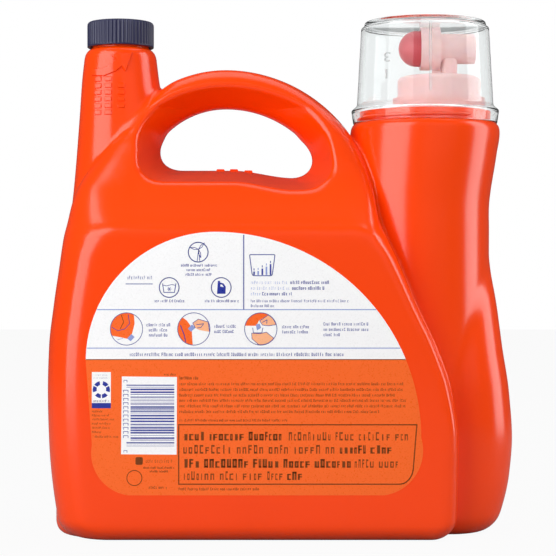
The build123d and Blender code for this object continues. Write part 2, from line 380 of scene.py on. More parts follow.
def smooth_curve(at: np.ndarray, knots: np.ndarray, values: np.ndarray) -> np.ndarray:
    """Reads a smooth curve that doesn't swing past its knots.

    Args:
        at: where to read the curve.
        knots: rising places of the known values.
        values: the values there.

    Returns:
        The curve's value at each place, level outside the knots.
    """
    step = np.diff(knots)
    rise = np.diff(values) / step
    both = rise[:-1] * rise[1:]
    total = np.where(both > 0, rise[:-1] + rise[1:], 1.0)
    slope = np.concatenate([rise[:1], np.where(both > 0, 2 * both / total, 0.0), rise[-1:]])
    i = np.clip(np.searchsorted(knots, at) - 1, 0, len(step) - 1)
    t = np.clip((at - knots[i]) / step[i], 0, 1)
    start, end = values[i], values[i + 1]
    bend_in, bend_out = slope[i] * step[i], slope[i + 1] * step[i]
    return (
        (2 * t**3 - 3 * t**2 + 1) * start
        + (t**3 - 2 * t**2 + t) * bend_in
        + (3 * t**2 - 2 * t**3) * end
        + (t**3 - t**2) * bend_out
    )


def soft_least(a: np.ndarray, b: np.ndarray, reach: float | np.ndarray) -> np.ndarray:
    """The lesser of two fields, rounded where they are within reach of each other."""
    near = np.maximum(reach - np.abs(a - b), 0) / reach
    return np.minimum(a, b) - near**2 * reach / 4


def soft_most(a: np.ndarray, b: np.ndarray, reach: float | np.ndarray) -> np.ndarray:
    """The greater of two fields, rounded where they are within reach of each other."""
    return -soft_least(-a, -b, reach)


@dataclass(frozen=True)
class Level:
    """One level section of a lobe, in millimetres."""

    height: float
    left: float
    right: float
    half_depth: float
    left_corner: float
    right_corner: float


@dataclass(frozen=True)
class Lobe:
    """A blown lobe: rounded level sections joined by smooth curves, and a soft top edge."""

    levels: tuple[Level, ...]
    top: float
    top_edge: float

    def field(self, x: np.ndarray, y: np.ndarray, z: np.ndarray) -> np.ndarray:
        """Distance from the lobe's surface, in millimetres, less than nought inside."""
        heights = np.array([s.height for s in self.levels])
        left, right, depth, left_corner, right_corner = (
            smooth_curve(z, heights, np.array([getattr(s, part) for s in self.levels]))
            for part in ("left", "right", "half_depth", "left_corner", "right_corner")
        )
        across = x - (left + right) / 2
        corner = np.where(across > 0, right_corner, left_corner)
        out_x = np.abs(across) - (right - left) / 2 + corner
        out_y = np.abs(y) - depth + corner
        corner_part = np.hypot(np.maximum(out_x, 0), np.maximum(out_y, 0))
        walls = corner_part + np.minimum(np.maximum(out_x, out_y), 0) - corner
        return soft_most(walls, z - self.top, self.top_edge)


@dataclass
class BottleShape:
    """The outside of the blown bottle as one field, in millimetres: lobes, handle, hole, panels and base."""

    body: Lobe = Lobe(
        (
            Level(0, -125, 95, 58, 26, 10),
            Level(12, -131.2, 99.5, 63.5, 28, 11),
            Level(59, -136.4, 100.5, 65, 30, 12),
            Level(86, -137, 96.5, 65, 30, 12),
            Level(111, -136.3, 88, 65, 30, 12),
            Level(135, -133.6, 77, 65, 30, 13),
            Level(162, -129.8, 66, 65, 31, 16),
            Level(174, -128.4, 60.5, 63.6, 33, 18),
            Level(183, -126.5, 57, 58, 30, 20),
            Level(196, -123.5, 52.5, 49, 22, 20),
            Level(206, -119.5, 49, 43, 17, 20),
            Level(222, -109, 44, 36, 15, 16),
            Level(234, -101, 34, 31, 14, 12),
        ),
        236,
        8,
    )
    vent: Lobe = Lobe(
        (
            Level(120, -134, -60, 50, 30, 30),
            Level(165, -129.2, -66, 42, 28, 28),
            Level(205, -125.4, -70, 31, 26, 26),
            Level(250, -122.3, -71.5, 24, 23, 23),
            Level(270, -121.0, -74.6, 22.8, 22.4, 22.4),
            Level(288, -119.0, -76.8, 21.2, 21.0, 21.0),
        ),
        289.5,
        7,
    )
    tap: Lobe = Lobe(
        (
            Level(0, 44, 118, 38, 34, 34),
            Level(56, 42, 124, 43, 40, 40),
            Level(150, 42, 124, 44.5, 41, 41),
            Level(190, 40.5, 124.2, 44.5, 41.5, 41.5),
            Level(225, 40.8, 129, 45, 43.5, 43.5),
            Level(238, 41.2, 131, 45, 44.5, 44.5),
            Level(246, 41.6, 130.8, 44.6, 44.5, 44.5),
        ),
        244.8,
        6,
    )
    foot: Lobe = Lobe(
        (
            Level(0, 30, 124, 36, 20, 26),
            Level(12, 30, 130.2, 40, 20, 28),
            Level(35, 30, 135.4, 41, 20, 29),
            Level(56, 30, 137, 41, 20, 29),
            Level(83, 30, 135.2, 40, 20, 28),
            Level(110, 30, 131.3, 37, 20, 26),
            Level(137, 30, 128, 32, 20, 24),
            Level(165, 30, 123, 24, 20, 20),
        ),
        190,
        10,
    )
    crown_x: float = -34.0
    crown_z: float = 263.9
    left_bend: float = 62.0
    right_bend: float = 77.0
    grip_half: float = 11.8
    grip_round: float = 12.0
    cheek_heights: tuple[float, ...] = (174.0, 183.0, 196.0, 206.0, 222.0, 240.0, 256.0, 272.0)
    cheeks: tuple[float, ...] = (62.0, 56.5, 48.5, 42.5, 35.5, 28.5, 22.5, 18.5)
    valley: Point = (-92.5, 245.0)
    valley_run: Point = (26.5, 40.0)
    hole_left: float = -75.6
    hole_right: float = 20.8
    panel_depth: float = 62.0
    wall_root: float = 215.8
    wall_dip: float = 211.3
    vent_blend: float = 2.0
    grip_blend: float = 4.0
    rim_round: float = 2.6
    column_blend: float = 2.5
    panel_round: float = 2.5
    base_round: float = 9.0

    def arch(self, x: np.ndarray, z: np.ndarray) -> np.ndarray:
        """Distance outwards from the middle line of the handle's arch."""
        bend = np.where(x < self.crown_x, self.left_bend, self.right_bend)
        return np.hypot(x - self.crown_x, z - self.crown_z + bend) - bend

    def grip(self, x: np.ndarray, y: np.ndarray, z: np.ndarray) -> np.ndarray:
        """Distance from the handle's arch: cheeks flush with the body's shoulders, and a rounded top."""
        cheek = smooth_curve(z, np.array(self.cheek_heights), np.array(self.cheeks))
        band = soft_most(np.abs(self.arch(x, z)) - self.grip_half, np.abs(y) - cheek, self.grip_round)
        lean = math.hypot(*self.valley_run)
        rise, across = z - self.valley[1], x - self.valley[0]
        beyond = (self.valley_run[0] * rise - self.valley_run[1] * across) / lean
        return soft_most(band, beyond, self.grip_round)

    def hole(self, x: np.ndarray, z: np.ndarray) -> np.ndarray:
        """Distance from the edge of the see-through hole, less than nought in the hole."""
        roof = self.arch(x, z) + self.grip_half
        sides = np.maximum(self.hole_left - x, x - self.hole_right)
        return soft_most(soft_most(roof, sides, 8.0), self.hole_floor(x) - z, 16.0)

    def hole_floor(self, x: np.ndarray) -> np.ndarray:
        """Height of the hole's lower edge, which dips towards the tap column."""
        knots = np.array([-80.0, -30.0, 7.0, 40.0])
        heights = np.array([self.wall_root, self.wall_root, self.wall_dip, self.wall_dip + 4])
        return smooth_curve(x, knots, heights)

    def field(self, x: np.ndarray, y: np.ndarray, z: np.ndarray) -> np.ndarray:
        """Distance from the bottle's surface, less than nought inside."""
        made = soft_least(self.body.field(x, y, z), self.vent.field(x, y, z), self.vent_blend)
        made = soft_least(made, self.grip(x, y, z), self.grip_blend)
        lean = smooth_curve(z, np.array([206.0, 222.0, 238.0, 252.0]), np.array([0.24, 0.3, 0.5, 0.8]))
        funnel = (lean * (np.sqrt(y**2 + 16) - 4) - self.hole(x, z)) / np.sqrt(1 + lean**2)
        made = soft_most(made, funnel, self.rim_round)
        made = soft_least(made, self.foot.field(x, y, z), self.column_blend)
        made = soft_least(made, self.tap.field(x, y, z), self.column_blend)
        made = soft_most(made, np.abs(y) - self.panel_depth, self.panel_round)
        return soft_most(made, -z, self.base_round)

    def slope(self, points: np.ndarray) -> np.ndarray:
        """The field's steepest direction at each point."""
        reach = 0.05
        parts = []
        for axis in range(3):
            shift = np.zeros(3)
            shift[axis] = reach
            ahead, behind = points + shift, points - shift
            parts.append((self.field(*ahead.T) - self.field(*behind.T)) / (2 * reach))
        return np.stack(parts, axis=-1)

    def settle(self, points: np.ndarray, rounds: int = 3) -> tuple[np.ndarray, np.ndarray]:
        """Moves points onto the surface.

        Args:
            points: places near the surface, in millimetres.
            rounds: how many times each point moves.

        Returns:
            The settled points and the surface's outward directions there.
        """
        for _ in range(rounds):
            slope = self.slope(points)
            steep = np.maximum((slope**2).sum(axis=1), 0.1)
            points = points - slope * (self.field(*points.T) / steep)[:, None]
        slope = self.slope(points)
        return points, slope / np.linalg.norm(slope, axis=1, keepdims=True)

    def front(self, x: np.ndarray, z: np.ndarray, side: float = -1.0) -> np.ndarray:
        """Depth of the surface at places across the front or, with side 1, the back."""
        near, far = np.zeros_like(x), np.full_like(x, 70.0)
        for _ in range(30):
            middle = (near + far) / 2
            inside = self.field(x, side * middle, z) < 0
            near, far = np.where(inside, middle, near), np.where(inside, far, middle)
        return side * near


def surface_net(
    shape: Callable[[np.ndarray, np.ndarray, np.ndarray], np.ndarray], low: Vector, high: Vector, step: float
) -> tuple[np.ndarray, np.ndarray]:
    """Skins a field with four-sided faces, one point in each grid cell that the surface crosses.

    Args:
        shape: the field, less than nought inside.
        low: lowest corner of the grid, in millimetres.
        high: highest corner of the grid.
        step: grid spacing.

    Returns:
        The points and the faces.
    """
    axes = [np.arange(a - 2 * step, b + 2 * step, step) for a, b in zip(low, high)]
    values = shape(axes[0][:, None, None], axes[1][None, :, None], axes[2][None, None, :])
    inside = values < 0
    cells = tuple(n - 1 for n in values.shape)
    total, hits = np.zeros(cells + (3,)), np.zeros(cells)
    for axis in range(3):
        others = [a for a in range(3) if a != axis]
        for first in (0, 1):
            for second in (0, 1):
                corner = [slice(0, n) for n in cells]
                corner[others[0]] = slice(first, cells[others[0]] + first)
                corner[others[1]] = slice(second, cells[others[1]] + second)
                ahead = list(corner)
                ahead[axis] = slice(1, cells[axis] + 1)
                start, end = values[tuple(corner)], values[tuple(ahead)]
                crossed = inside[tuple(corner)] != inside[tuple(ahead)]
                share = np.where(crossed, start / np.where(crossed, start - end, 1.0), 0.0)
                total[..., axis] += share
                total[..., others[0]] += crossed * first
                total[..., others[1]] += crossed * second
                hits += crossed
    used = hits > 0
    number = np.full(cells, -1)
    number[used] = np.arange(used.sum())
    place = np.stack(np.nonzero(used), axis=-1) + total[used] / hits[used][:, None]
    points = np.array([a[0] for a in axes]) + place * step
    faces = []
    for axis in range(3):
        b, c = (axis + 1) % 3, (axis + 2) % 3
        ahead = np.take(inside, range(1, inside.shape[axis]), axis)
        here = np.take(inside, range(inside.shape[axis] - 1), axis)
        for leaving in (True, False):
            found = (here != ahead) & (here == leaving)
            at = np.stack(np.nonzero(found), axis=-1)
            at = at[(at[:, b] > 0) & (at[:, c] > 0) & (at[:, b] < cells[b]) & (at[:, c] < cells[c])]
            ring = []
            for back_b, back_c in ((1, 1), (0, 1), (0, 0), (1, 0)):
                cell = at.copy()
                cell[:, b] -= back_b
                cell[:, c] -= back_c
                ring.append(number[tuple(cell.T)])
            faces.append(np.stack(ring if leaving else ring[::-1], axis=-1))
    return points, np.concatenate(faces)


@dataclass
class Bottle:
    """The blown bottle: body, handle, columns, necks, threads and raised marks in one piece."""

    shape: BottleShape = field(default_factory=BottleShape)
    net_step: float = 1.7
    vent_neck: float = 17.0
    vent_bore: float = 14.2
    neck_root: float = 5.0
    ring_radius: float = 39.55
    ring_foot: float = 240.0
    ring_gap: float = 0.2
    thread_start: float = -52.0
    thread_sweep: float = 300.0
    thread_height: float = 247.2
    thread_fall: float = 1.6
    mark_lift: float = 0.6
    mark_grid: float = 1.0
    mark_bevel: float = 0.55
    bar_pitch: float = 4.0
    bar_tall: float = 2.2

    def build(self) -> bpy.types.Object:
        """Makes the bottle's mesh, dresses it and returns it."""
        low, high = (Vector(c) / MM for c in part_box("bottle"))
        high.z = self.shape.vent.top
        points, faces = surface_net(self.shape.field, low, high, self.net_step * (1.0))
        points, normals = self.shape.settle(points)
        finish = BOTTLE_ORANGE.material()
        skin = add_mesh("bottle_skin", points, faces.tolist(), [finish])
        skin.data.normals_split_custom_set_from_vertices(normals.tolist())
        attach(skin, "bottle")
        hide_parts("bottle", "bottle_handle")
        log.info("bottle_skin: %d faces", len(faces))
        fitted = [self.vent_finish(finish), self.tap_finish(finish), self.thread(finish)]
        for piece in fitted + self.relief(finish):
            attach(piece, "bottle")
            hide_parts("bottle", "bottle_handle")
            log.info("%s: %d faces", piece.name, len(piece.data.polygons))
        return skin

    def vent_finish(self, finish: bpy.types.Material) -> bpy.types.Object:
        """Makes the neck inside the vent cap and returns it."""
        low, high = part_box("vent_cap")
        centre_x = (low.x + high.x) / 2 / MM
        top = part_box("bottle")[1].z / MM
        shoulder = self.shape.vent.top
        section = [
            (self.vent_bore, shoulder - self.neck_root, 0),
            (self.vent_neck, shoulder - self.neck_root, 0),
            (self.vent_neck, top, 0.8),
            (self.vent_bore, top, 0.6),
        ]
        return Turned(section, (centre_x, 0, 0)).build("bottle_vent_neck", finish)

    def tap_finish(self, finish: bpy.types.Material) -> bpy.types.Object:
        """Makes the wide ring under the dosing cup and returns it; the thread is made on its own."""
        low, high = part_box("dosing_cup")
        centre_x = (low.x + high.x) / 2 / MM
        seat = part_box("tap_body")[0].z / MM
        section = [
            (0.0, self.ring_foot, 0),
            (self.ring_radius, self.ring_foot, 0),
            (self.ring_radius, seat - self.ring_gap, 0.7),
            (0.0, seat - self.ring_gap, 0),
        ]
        return Turned(section, (centre_x, 0, 0), sides=128).build("bottle_tap_ring", finish)

    def thread(self, finish: bpy.types.Material) -> bpy.types.Object:
        """Makes the thread's rib round the ring, rising to its front end, and returns it."""
        low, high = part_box("dosing_cup")
        centre_x = (low.x + high.x) / 2 / MM
        turns = np.linspace(0, 1, 121)
        angles = np.radians(self.thread_start - self.thread_sweep * turns)
        heights = self.thread_height - self.thread_fall * turns
        grow = np.clip(np.minimum(turns, 1 - turns) / 0.02, 0.02, 1) ** 0.5
        profile = np.array([(-0.6, -1.3), (0.9, -1.0), (1.6, -0.4), (1.6, 0.4), (0.9, 1.0), (-0.6, 1.3)])
        points = []
        for angle, height, size in zip(angles, heights, grow):
            for out, up in profile:
                reach = self.ring_radius + min(out, out * size)
                x, y = centre_x + reach * math.cos(angle), reach * math.sin(angle)
                points.append((x, y, height + up * size))
        count = len(profile)
        faces = []
        for i in range(len(turns) - 1):
            for j in range(count):
                k = (j + 1) % count
                faces.append((i * count + j, i * count + k, (i + 1) * count + k, (i + 1) * count + j))
        last = (len(turns) - 1) * count
        faces += [tuple(range(count))[::-1], tuple(last + j for j in range(count))]
        piece = add_mesh("bottle_ring_thread", points, faces, [finish])
        weld(piece)
        crease(piece, 50)
        return piece

    def raised(
        self, name: str, outline: Sequence[Point], lift: float, finish: bpy.types.Material
    ) -> bpy.types.Object:
        """Makes a raised mark that follows the front surface.

        Args:
            name: the mark's name.
            outline: its corners, seen from the front.
            lift: how far it stands out.
            finish: its material.

        Returns:
            The mark.
        """
        edge = np.concatenate(
            [
                np.linspace(a, b, max(2, round(math.dist(a, b) / self.mark_grid) + 1))[:-1]
                for a, b in zip(outline, [*outline[1:], outline[0]])
            ]
        )
        low, high = edge.min(axis=0), edge.max(axis=0)
        steps = [np.arange(a + self.mark_grid / 2, b, self.mark_grid) for a, b in zip(low, high)]
        seeds = np.stack(np.meshgrid(*steps), axis=-1).reshape(-1, 2)
        places = [Vector(p) for p in (*edge.tolist(), *seeds.tolist())]
        found = delaunay_2d_cdt(places, [], [list(range(len(edge)))], 1, 1e-4)
        flat, triangles = np.array([tuple(p) for p in found[0]]), found[2]
        on_skin = np.stack([flat[:, 0], self.shape.front(flat[:, 0], flat[:, 1]), flat[:, 1]], axis=-1)
        slope = self.shape.slope(on_skin)
        slope /= np.linalg.norm(slope, axis=1, keepdims=True)
        sides = {(t[i], t[(i + 1) % len(t)]) for t in triangles for i in range(len(t))}
        rim = [(a, b) for a, b in sides if (b, a) not in sides]
        out = np.zeros_like(flat)
        for a, b in rim:
            along = (flat[b] - flat[a]) / np.linalg.norm(flat[b] - flat[a])
            out[[a, b]] += (along[1], -along[0])
        foot = flat + out / np.maximum(np.linalg.norm(out, axis=1, keepdims=True), 1e-6) * self.mark_bevel
        foot = np.stack([foot[:, 0], self.shape.front(foot[:, 0], foot[:, 1]) + 0.15, foot[:, 1]], axis=-1)
        count = len(flat)
        faces = [tuple(t) for t in triangles] + [(b, a, count + a, count + b) for a, b in sorted(rim)]
        used = sorted({k for face in faces for k in face})
        renumber = {k: i for i, k in enumerate(used)}
        points = np.concatenate([on_skin + slope * lift, foot])[used]
        piece = add_mesh(name, points, [[renumber[k] for k in face] for face in faces], [finish])
        weld(piece)
        crease(piece, 20)
        return piece

    def relief(self, finish: bpy.types.Material) -> list[bpy.types.Object]:
        """Makes the raised turning arrow, the rows of plain bars and the grip ticks, and returns them."""
        shaft = [(-113.0, 275.0), (-106.0, 275.0), (-101.0, 277.8), (-98.2, 280.4)]
        head = [(-101.4, 283.0), (-89.6, 284.6), (-93.2, 273.6)]
        under = [(-95.2, 276.6), (-99.2, 273.4), (-105.6, 270.8), (-113.2, 271.6)]
        made = [self.raised("bottle_arrow", shaft + head + under, 1.5 * self.mark_lift, finish)]
        columns = ((-109.3, 270.0, 6), (-103.1, 270.0, 6), (-95.4, 266.0, 4))
        for column, (x, top, bars) in enumerate(columns):
            for k in range(bars):
                z = top - self.bar_pitch * k
                low, high = z - self.bar_tall, z
                bar = [(x - 1.8, low), (x + 1.8, low), (x + 1.8, high), (x - 1.8, high)]
                made.append(self.raised(f"bottle_bar_{column}_{k}", bar, self.mark_lift, finish))
        for k, x in enumerate((-37.4, -29.3, -20.6)):
            made.append(self.grip_tick(f"bottle_grip_tick_{k}", x, finish))
        return made

    def grip_tick(self, name: str, x: float, finish: bpy.types.Material) -> bpy.types.Object:
        """Makes one low rounded tick across the top of the hole's lower edge and returns it."""
        floor = float(self.shape.hole_floor(np.array([x]))[0])
        low, high = floor - 1.5, floor + 0.8
        section = rounded([(x - 2.8, low, 0), (x + 2.8, low, 0), (x + 2.3, high, 0.6), (x - 2.3, high, 0.6)])
        count = len(section)
        points = [(a, y, b) for y in (-2.5, 2.5) for a, b in section]
        faces = [(k, (k + 1) % count, count + (k + 1) % count, count + k) for k in range(count)]
        faces += [tuple(range(count))[::-1], tuple(range(count, 2 * count))]
        piece = add_mesh(name, points, faces, [finish])
        weld(piece)
        crease(piece, 40)
        return piece


# --------------------------------------------------------------------------- caps and cup


@dataclass
class VentCap:
    """The ribbed screw cap on the vent neck: a plain band, ribs above it and a sunk top."""

    ribs: int = 52
    rib_depth: float = 0.5
    band: float = 0.9
    skirt_bore: float = 18.2
    samples: tuple[float, ...] = (0.0, 0.35, 0.9, 1.0, 1.0, 0.9, 0.35, 0.0)

    def build(self) -> bpy.types.Object:
        """Makes the cap's mesh, dresses it and returns it."""
        low, high = (Vector(c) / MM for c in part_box("vent_cap"))
        radius, bottom, top = (high.x - low.x) / 2, low.z, high.z
        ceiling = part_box("vent_cap_liner")[1].z / MM
        rows = [
            (0.0, ceiling, 0.0),
            (self.skirt_bore, ceiling, 0.0),
            (self.skirt_bore, bottom + 0.4, 0.0),
            (self.skirt_bore + 0.4, bottom, 0.0),
            (radius - 0.35, bottom, 0.0),
            (radius, bottom + 0.35, 0.0),
            (radius, bottom + self.band - 0.3, 0.0),
            (radius - 0.05, bottom + self.band, 0.5),
            (radius, bottom + self.band + 0.5, 1.0),
            (radius, top - 2.2, 1.0),
            (radius - 0.12, top - 1.3, 1.0),
            (radius - 0.5, top - 0.6, 0.7),
            (radius - 1.1, top - 0.15, 0.2),
            (radius - 1.8, top, 0.0),
            (radius - 3.0, top, 0.0),
            (radius - 3.4, top - 0.4, 0.0),
            (0.0, top - 0.4, 0.0),
        ]
        sides = self.ribs * len(self.samples)
        angles = np.linspace(0, 2 * math.pi, sides, endpoint=False)
        flute = 1 - np.tile(self.samples, self.ribs)
        table = np.array(rows)
        reach = table[:, :1] - self.rib_depth * table[:, 2:] * flute
        points = np.stack(
            [
                (low.x + high.x) / 2 + reach * np.cos(angles),
                reach * np.sin(angles),
                np.broadcast_to(table[:, 1:2], reach.shape),
            ],
            axis=-1,
        ).reshape(-1, 3)
        i, j = np.meshgrid(np.arange(len(rows) - 1), np.arange(sides), indexing="ij")
        m = (j + 1) % sides
        faces = np.stack([i * sides + j, i * sides + m, (i + 1) * sides + m, (i + 1) * sides + j], axis=-1)
        cap = add_mesh("vent_cap_ribbed", points, faces.reshape(-1, 4).tolist(), [CAP_NAVY.material()])
        weld(cap)
        crease(cap, 50)
        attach(cap, "vent_cap")
        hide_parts("vent_cap")
        log.info("vent_cap_ribbed: %d faces", len(cap.data.polygons))
        return cap


@dataclass
class DosingCup:
    """The clear cup turned over the tap: foot ring, flared wall, skirt, fill bar and plain numerals."""

    section: tuple[tuple[float, float, float], ...] = (
        (0.0, -1.6, 0),
        (33.4, -1.6, 0.8),
        (34.4, -0.4, 0.5),
        (35.0, 0.0, 0.3),
        (36.1, 0.0, 0.4),
        (36.5, -0.6, 0.4),
        (36.9, -2.6, 0.5),
        (38.5, -3.4, 0.9),
        (41.1, -50.2, 1.2),
        (44.5, -53.2, 0.9),
        (43.4, -60.7, 0.4),
        (43.1, -61.1, 0.3),
        (42.3, -61.1, 0.3),
        (42.0, -60.6, 0.4),
        (42.9, -54.2, 0.9),
        (39.7, -50.8, 1.2),
        (37.1, -4.8, 0.8),
        (35.7, -2.9, 0.8),
        (0.0, -2.9, 0),
    )
    bar_top: float = -4.6
    bar_bottom: float = -44.8
    bar_width: float = 1.3
    numerals: tuple[tuple[str, float], ...] = (("3", -24.0), ("1", -34.0))
    numeral_angle: float = -129.0
    numeral_width: float = 1.5

    def build(self) -> bpy.types.Object:
        """Makes the cup, its bar and its numerals, and returns the cup."""
        low, high = (Vector(c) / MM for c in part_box("dosing_cup"))
        centre = Vector(((low.x + high.x) / 2, 0, high.z))
        clear = CUP_CLEAR.material()
        cup = Turned(self.section, tuple(centre), sides=192).build("dosing_cup_clear", clear)
        pieces = [cup, self.bar(centre, clear)]
        pieces += [self.numeral(centre, text, drop) for text, drop in self.numerals]
        for piece in pieces:
            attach(piece, "dosing_cup")
            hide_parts("dosing_cup")
            log.info("%s: made", piece.name)
        return cup

    def wall(self, drop: float) -> float:
        """Outer radius of the wall at a depth under the cup's top."""
        return float(np.interp(-drop, (3.4, 50.6), (38.5, 41.1)))

    def bar(self, centre: Vector, finish: bpy.types.Material) -> bpy.types.Object:
        """Makes the raised bar down the front of the wall and returns it."""
        half = self.bar_width / 2
        points, faces = [], []
        for drop in (self.bar_top, self.bar_bottom):
            near = -self.wall(drop)
            root, crest = near + 0.4, near - 0.45
            for x, y in ((-half, root), (-0.6 * half, crest), (0.6 * half, crest), (half, root)):
                points.append((centre.x + x, y, centre.z + drop))
        for k in range(4):
            m = (k + 1) % 4
            faces.append((k, m, 4 + m, 4 + k))
        faces += [(0, 3, 2, 1), (4, 5, 6, 7)]
        piece = add_mesh("dosing_cup_bar", points, faces, [finish], smooth=False)
        weld(piece)
        return piece

    def numeral(self, centre: Vector, text: str, drop: float) -> bpy.types.Object:
        """Makes one raised numeral, upside down as the cup is, and returns it."""
        angle = math.radians(self.numeral_angle)
        out = Vector((math.cos(angle), math.sin(angle), 0))
        data = bpy.data.curves.new(f"cup_numeral_{text}", "FONT")
        data.body = text
        data.size = 8 * MM
        data.extrude = 0.25 * MM
        data.align_x = data.align_y = "CENTER"
        data.materials.append(CUP_FROSTED.material())
        piece = bpy.data.objects.new(data.name, data)
        place = centre + out * (self.wall(drop) - 0.1) + Vector((0, 0, drop))
        piece.location = place * MM
        piece.scale.x = self.numeral_width
        piece.rotation_euler = (math.radians(-90), 0, angle + math.radians(90) + math.pi)
        bpy.context.scene.collection.objects.link(piece)
        return piece


@dataclass
class Tap:
    """The press tap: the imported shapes, dressed for what each is moulded from."""

    finishes: dict[str, MouldedPlastic] = field(
        default_factory=lambda: {
            "tap_body": TAP_PINK,
            "button_retainer": TAP_PINK,
            "press_button": BUTTON_RED,
            "valve_plunger": PLUNGER_WHITE,
            "valve_seal": SEAL_GREY,
            "tap_neck_gasket": SEAL_GREY,
            "vent_cap_liner": LINER_WHITE,
        }
    )

    def dress(self, nodes: dict[str, bpy.types.Object]) -> None:
        """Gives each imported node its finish.

        Args:
            nodes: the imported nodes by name.
        """
        made = {finish.name: finish.material() for finish in set(self.finishes.values())}
        for name, finish in self.finishes.items():
            node = nodes[name]
            node.data.materials.clear()
            node.data.materials.append(made[finish.name])
            log.info("%s: %s", name, finish.name)


# --------------------------------------------------------------------------- labels


class Ink(Enum):
    """The inks that a label is printed with."""

    WHITE = 0
    ORANGE = 1
    PEACH = 2
    BLUE = 3
    PALE = 4
    BROWN = 5


INKS = (INK_WHITE, INK_ORANGE, INK_PEACH, INK_BLUE, INK_PALE_BLUE, INK_BROWN)


@dataclass
class PrintSheet:
    """Flat printed shapes on one label, gathered into one mesh."""

    side: float
    depth: float
    step: float = 0.02
    points: list[tuple[float, float, float]] = field(default_factory=list)
    faces: list[tuple[int, ...]] = field(default_factory=list)
    inks: list[int] = field(default_factory=list)
    chance: random.Random = field(default_factory=lambda: random.Random(7))

    def shape(self, outline: Sequence[Point], ink: Ink, layer: int = 1) -> None:
        """Prints one filled outline.

        Args:
            outline: its corners, seen from in front of the back label.
            ink: its ink.
            layer: how many films lie under it.
        """
        start = len(self.points)
        y = self.side * (self.depth + layer * self.step)
        self.points += [(x, y, z) for x, z in outline]
        corners = [Vector((x, z, 0)) for x, z in outline]
        for triple in tessellate_polygon([corners]):
            a, b, c = (outline[k] for k in triple)
            area = (b[0] - a[0]) * (c[1] - a[1]) - (c[0] - a[0]) * (b[1] - a[1])
            turned = triple if area * -self.side > 0 else triple[::-1]
            self.faces.append(tuple(start + k for k in turned))
            self.inks.append(ink.value)

    def bar(self, x: float, z: float, width: float, height: float, ink: Ink, layer: int = 2) -> None:
        """Prints a rectangle from its lower left corner."""
        self.shape([(x, z), (x + width, z), (x + width, z + height), (x, z + height)], ink, layer)

    def line(
        self, path: Sequence[Point], width: float, ink: Ink, layer: int = 3, closed: bool = False
    ) -> None:
        """Prints a line of even width.

        Args:
            path: the points along its middle.
            width: its width in millimetres.
            ink: its ink.
            layer: how many films lie under it.
            closed: whether its end joins its start.
        """
        count = len(path)
        for k in range(count if closed else count - 1):
            a, b = np.array(path[k]), np.array(path[(k + 1) % count])
            along = (b - a) / max(np.linalg.norm(b - a), 1e-6) * width / 2
            across = np.array([-along[1], along[0]])
            a, b = a - along * 0.5, b + along * 0.5
            corners = (a - across, b - across, b + across, a + across)
            self.shape([tuple(c) for c in corners], ink, layer)

    def ring(self, x: float, z: float, radius: float, width: float, ink: Ink, layer: int = 4) -> None:
        """Prints a circle's outline."""
        count = 40
        self.line(arc(x, z, radius, 0, 360, count)[:-1], width, ink, layer, closed=True)

    def words(self, x: float, z: float, end: float, height: float, ink: Ink, bold: float = 0.5) -> None:
        """Prints a row of meaningless letter shapes from x to end, standing on z.

        Args:
            x: left end.
            z: the foot of the letters.
            end: right end.
            height: height of a capital.
            ink: their ink.
            bold: width of a stroke, as a share of a letter.
        """
        at, left = x, 0
        while at < end - 0.3 * height:
            if left == 0:
                left = self.chance.randint(3, 9)
                at += 0.42 * height
                continue
            tall = height if self.chance.random() < 0.3 else 0.74 * height
            wide = height * self.chance.choice((0.3, 0.46, 0.5, 0.52))
            for x0, z0, x1, z1 in self.chance.choice(LETTERS):
                x1 = min(1.0, x1 * (0.7 + bold))
                self.bar(at + x0 * wide, z + z0 * tall, (x1 - x0) * wide, (z1 - z0) * tall, ink)
            at += wide + 0.16 * height
            left -= 1

    def build(self, name: str) -> bpy.types.Object:
        """Makes the printed mesh and returns it."""
        return add_mesh(name, self.points, self.faces, [ink.material() for ink in INKS], False, self.inks)


LETTERS = (
    ((0.0, 0.0, 0.3, 1.0), (0.62, 0.0, 0.92, 1.0), (0.2, 0.8, 0.7, 1.0)),
    ((0.0, 0.0, 0.3, 1.0), (0.3, 0.0, 0.9, 0.2), (0.3, 0.8, 0.9, 1.0)),
    ((0.0, 0.0, 0.3, 1.0), (0.62, 0.0, 0.92, 1.0), (0.2, 0.0, 0.7, 0.2)),
    ((0.25, 0.0, 0.6, 1.0),),
    ((0.0, 0.0, 0.3, 1.0), (0.2, 0.42, 0.8, 0.6), (0.3, 0.8, 0.9, 1.0)),
    ((0.0, 0.0, 0.3, 1.0), (0.62, 0.0, 0.92, 1.0), (0.2, 0.0, 0.7, 0.2), (0.2, 0.8, 0.7, 1.0)),
)


def arc(x: float, z: float, radius: float, start: float, end: float, count: int = 24) -> list[Point]:
    """Points along an arc, from one angle to another in degrees."""
    angles = np.radians(np.linspace(start, end, count + 1))
    return [(x + radius * math.cos(a), z + radius * math.sin(a)) for a in angles]


def around(x: float, z: float, *offsets: Point) -> list[Point]:
    """Points at offsets from a mark's centre."""
    return [(x + a, z + b) for a, b in offsets]


